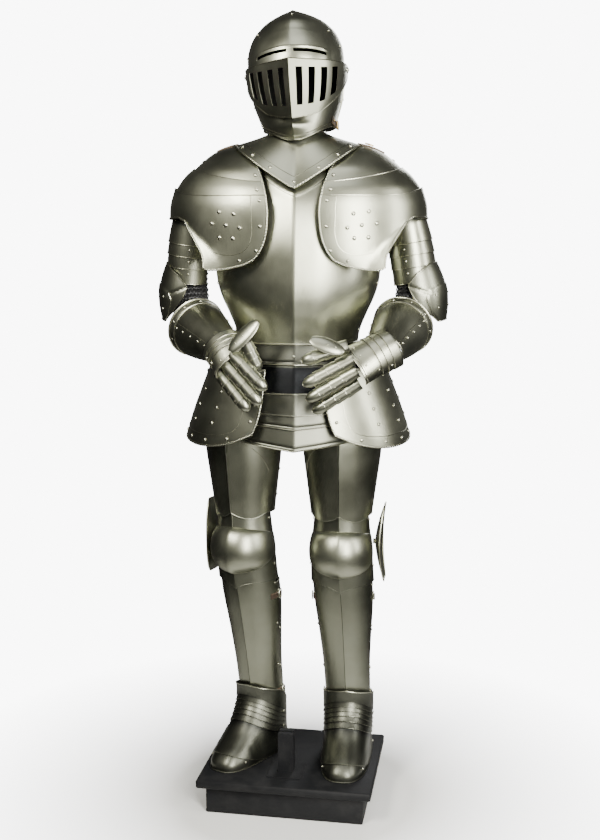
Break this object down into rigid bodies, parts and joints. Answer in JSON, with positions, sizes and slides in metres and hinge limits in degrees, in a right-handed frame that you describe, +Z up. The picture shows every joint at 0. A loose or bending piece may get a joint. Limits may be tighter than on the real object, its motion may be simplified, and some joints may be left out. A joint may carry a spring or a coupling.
{
  "type": "suit of plate armour on plinth",
  "caption": "Standing empty suit of plate armour with a close helmet whose slotted visor lifts, gauntlets clasped forward, on a low black plinth with a sword rest.",
  "frame": {"origin": "middle of the plinth's underside", "axes": "+Z up, -Y the way the suit faces, +X the wearer's left"},
  "size_m": [0.6944, 0.412, 1.9035],
  "materials": {
    "steel": "satin brushed, slightly warm",
    "mail": "black mail sewn on cloth",
    "plinth_black": "matte black paint",
    "leather": "worn brown strap leather",
    "brass": "dull buckle brass"
  },
  "bodies": {
    "suit": {"skull": "steel", "brow_plate": "steel", "bevor": "steel", "visor_pivot_l": "steel", "visor_pivot_r": "steel", "gorget_front": "steel", "gorget_back": "steel", "breastplate": "steel", "backplate": "steel", "fauld_1": "steel", "fauld_2": "steel", "fauld_3": "steel", "fauld_4": "steel", "fauld_5": "steel", "fauld_6": "steel", "culet_1": "steel", "culet_2": "steel", "tasset_l": "steel", "pauldron_main_l": "steel", "pauldron_lame_l": "steel", "pauldron_cap_l": "steel", "rerebrace_l": "steel", "mail_sleeve_l": "mail", "couter_l": "steel", "gauntlet_cuff_l": "steel", "hand_plate_l": "steel", "finger_index_l": "steel", "finger_middle_l": "steel", "finger_ring_l": "steel", "finger_little_l": "steel", "thumb_l": "steel", "cuisse_l": "steel", "poleyn_l": "steel", "knee_wing_l": "steel", "greave_front_l": "steel", "greave_back_l": "steel", "sabaton_l": "steel", "tasset_r": "steel", "pauldron_main_r": "steel", "pauldron_lame_r": "steel", "pauldron_cap_r": "steel", "rerebrace_r": "steel", "mail_sleeve_r": "mail", "couter_r": "steel", "gauntlet_cuff_r": "steel", "hand_plate_r": "steel", "finger_index_r": "steel", "finger_middle_r": "steel", "finger_ring_r": "steel", "finger_little_r": "steel", "thumb_r": "steel", "cuisse_r": "steel", "poleyn_r": "steel", "knee_wing_r": "steel", "greave_front_r": "steel", "greave_back_r": "steel", "sabaton_r": "steel", "plinth": "plinth_black", "sword_rest": "plinth_black"},
    "visor": {"visor": "steel"}
  },
  "joints": [
    {"name": "visor_lift", "type": "hinge", "parent": "suit", "child": "visor", "pos_m": [0.00555, 0.00752, 1.76175], "axis": [-0.9971, -0.0523, -0.0558], "range_deg": [0, 40]}
  ]
}
